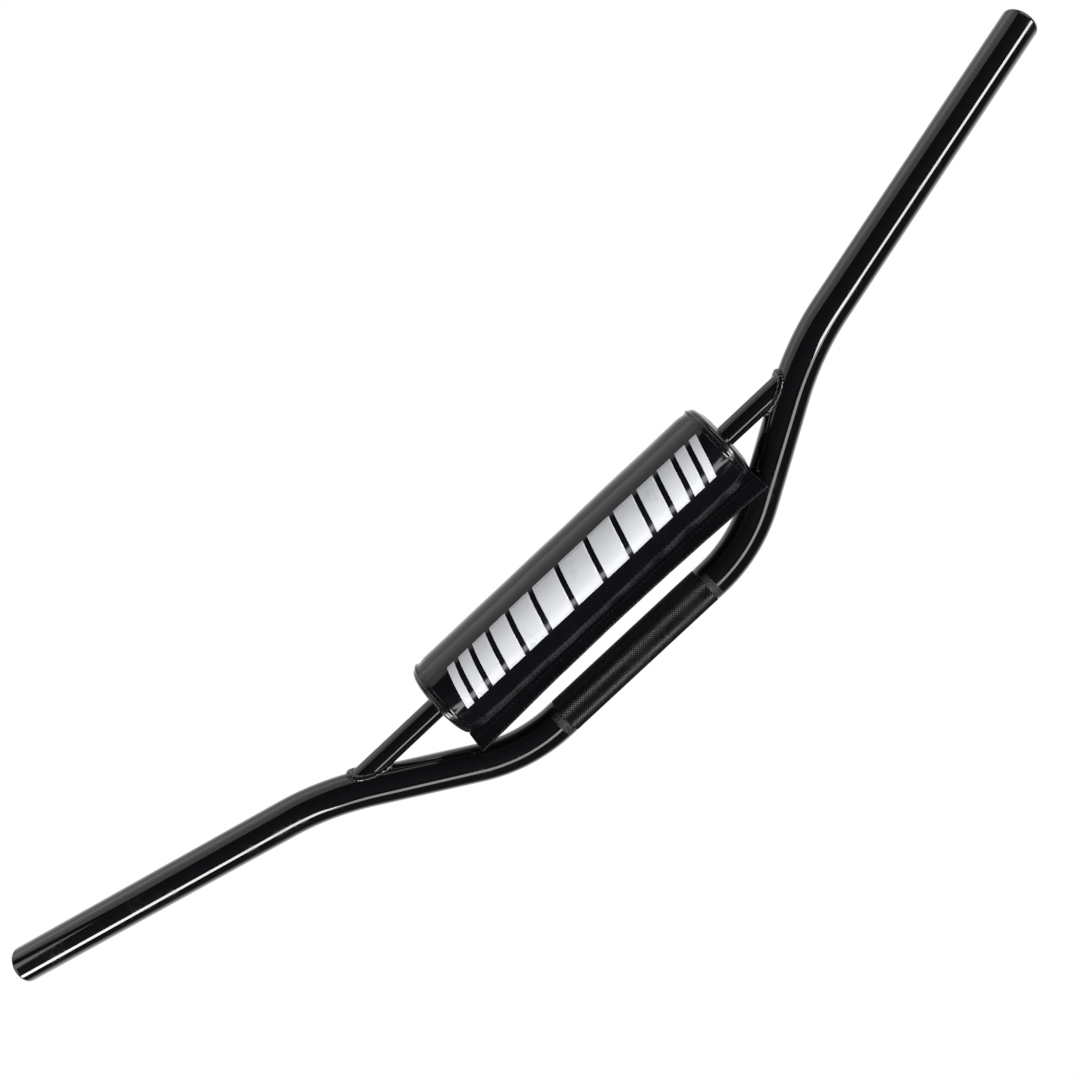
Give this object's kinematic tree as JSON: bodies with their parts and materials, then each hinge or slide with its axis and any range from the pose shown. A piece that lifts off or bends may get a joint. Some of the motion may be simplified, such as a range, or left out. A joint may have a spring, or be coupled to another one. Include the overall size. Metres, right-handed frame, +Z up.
{
  "type": "braced motorcycle handlebar with crossbar pad",
  "caption": "Bent steel off-road motorcycle handlebar with a welded crossbar, knurled clamp zone and a wrapped foam crossbar pad closed by hook-and-loop tape.",
  "frame": {"origin": "middle of the straight clamp zone, on the main tube's axis", "axes": "+X along the clamp zone to one grip, +Z up in the plane of the risers and crossbar, -Y to the front of the motorcycle, so the grips sweep back to +Y"},
  "size_m": [0.8126, 0.0918, 0.1196],
  "materials": {
    "bar_paint": "gloss",
    "pad_vinyl": "gloss",
    "hem_binding": "gloss",
    "thread": "satin",
    "loop_tape": "matte",
    "hook_tape": "matte",
    "pad_foam": "matte",
    "print_white": "satin"
  },
  "bodies": {
    "bar": {"main_tube": "bar_paint", "crossbar": "bar_paint", "weld_left": "bar_paint", "weld_right": "bar_paint"},
    "foam": {"foam_core": "pad_foam"},
    "cover": {"cover_wrap": "pad_vinyl", "end_panel_left": "pad_vinyl", "end_panel_right": "pad_vinyl", "hem_left": "hem_binding", "hem_right": "hem_binding", "thread_left": "thread", "thread_right": "thread", "closure_rear": "pad_vinyl", "loop_tape": "loop_tape", "loop_thread": "thread", "print_film": "print_white"},
    "flap": {"closure_flap": "pad_vinyl", "hook_tape": "hook_tape", "hook_thread": "thread"}
  },
  "joints": [
    {"name": "pad_slide", "type": "slide", "parent": "bar", "child": "foam", "axis": [1, 0, 0], "range_m": [-0.0195, 0.0005]},
    {"name": "pad_turn", "type": "hinge", "parent": "foam", "child": "cover", "pos_m": [0.0095, 0, 0.057], "axis": [1, 0, 0], "range_deg": [-180, 7]},
    {"name": "flap_open", "type": "hinge", "parent": "cover", "child": "flap", "pos_m": [0.0095, -0.01497, 0.03447], "axis": [1, 0, 0], "range_deg": [-85, 0]}
  ]
}
